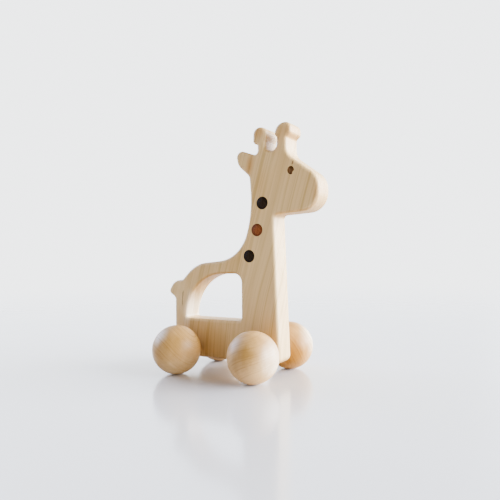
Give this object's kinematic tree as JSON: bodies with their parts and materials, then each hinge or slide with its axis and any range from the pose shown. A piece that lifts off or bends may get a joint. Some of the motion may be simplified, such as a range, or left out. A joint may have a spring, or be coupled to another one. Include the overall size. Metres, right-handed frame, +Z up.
{
  "type": "giraffe push toy",
  "caption": "Push toy cut from one thick wooden board as a giraffe, with a finger opening, inlaid spots and wooden balls on turning axles to roll on.",
  "frame": {"origin": "on the floor under the middle of the toy's overall box", "axes": "+X the way the giraffe looks, Y across the board along the axles, +Z up"},
  "size_m": [0.137, 0.0978, 0.1915],
  "materials": {
    "maple_board": "oiled satin",
    "walnut_inlay": "oiled end grain",
    "redwood_inlay": "oiled end grain",
    "turned_ball": "oiled satin",
    "axle_dowel": "bare sanded"
  },
  "bodies": {
    "giraffe": {"giraffe_body": "maple_board", "upper_spot": "walnut_inlay", "middle_spot": "redwood_inlay", "lower_spot": "walnut_inlay"},
    "front_wheels": {"front_axle": "axle_dowel", "front_left_ball": "turned_ball", "front_right_ball": "turned_ball"},
    "rear_wheels": {"rear_axle": "axle_dowel", "rear_left_ball": "turned_ball", "rear_right_ball": "turned_ball"}
  },
  "joints": [
    {"name": "front_axle_spin", "type": "hinge", "parent": "giraffe", "child": "front_wheels", "pos_m": [0.0245, 0, 0.01905], "axis": [0, 1, 0], "continuous": true},
    {"name": "rear_axle_spin", "type": "hinge", "parent": "giraffe", "child": "rear_wheels", "pos_m": [-0.045, 0, 0.01905], "axis": [0, 1, 0], "continuous": true}
  ]
}
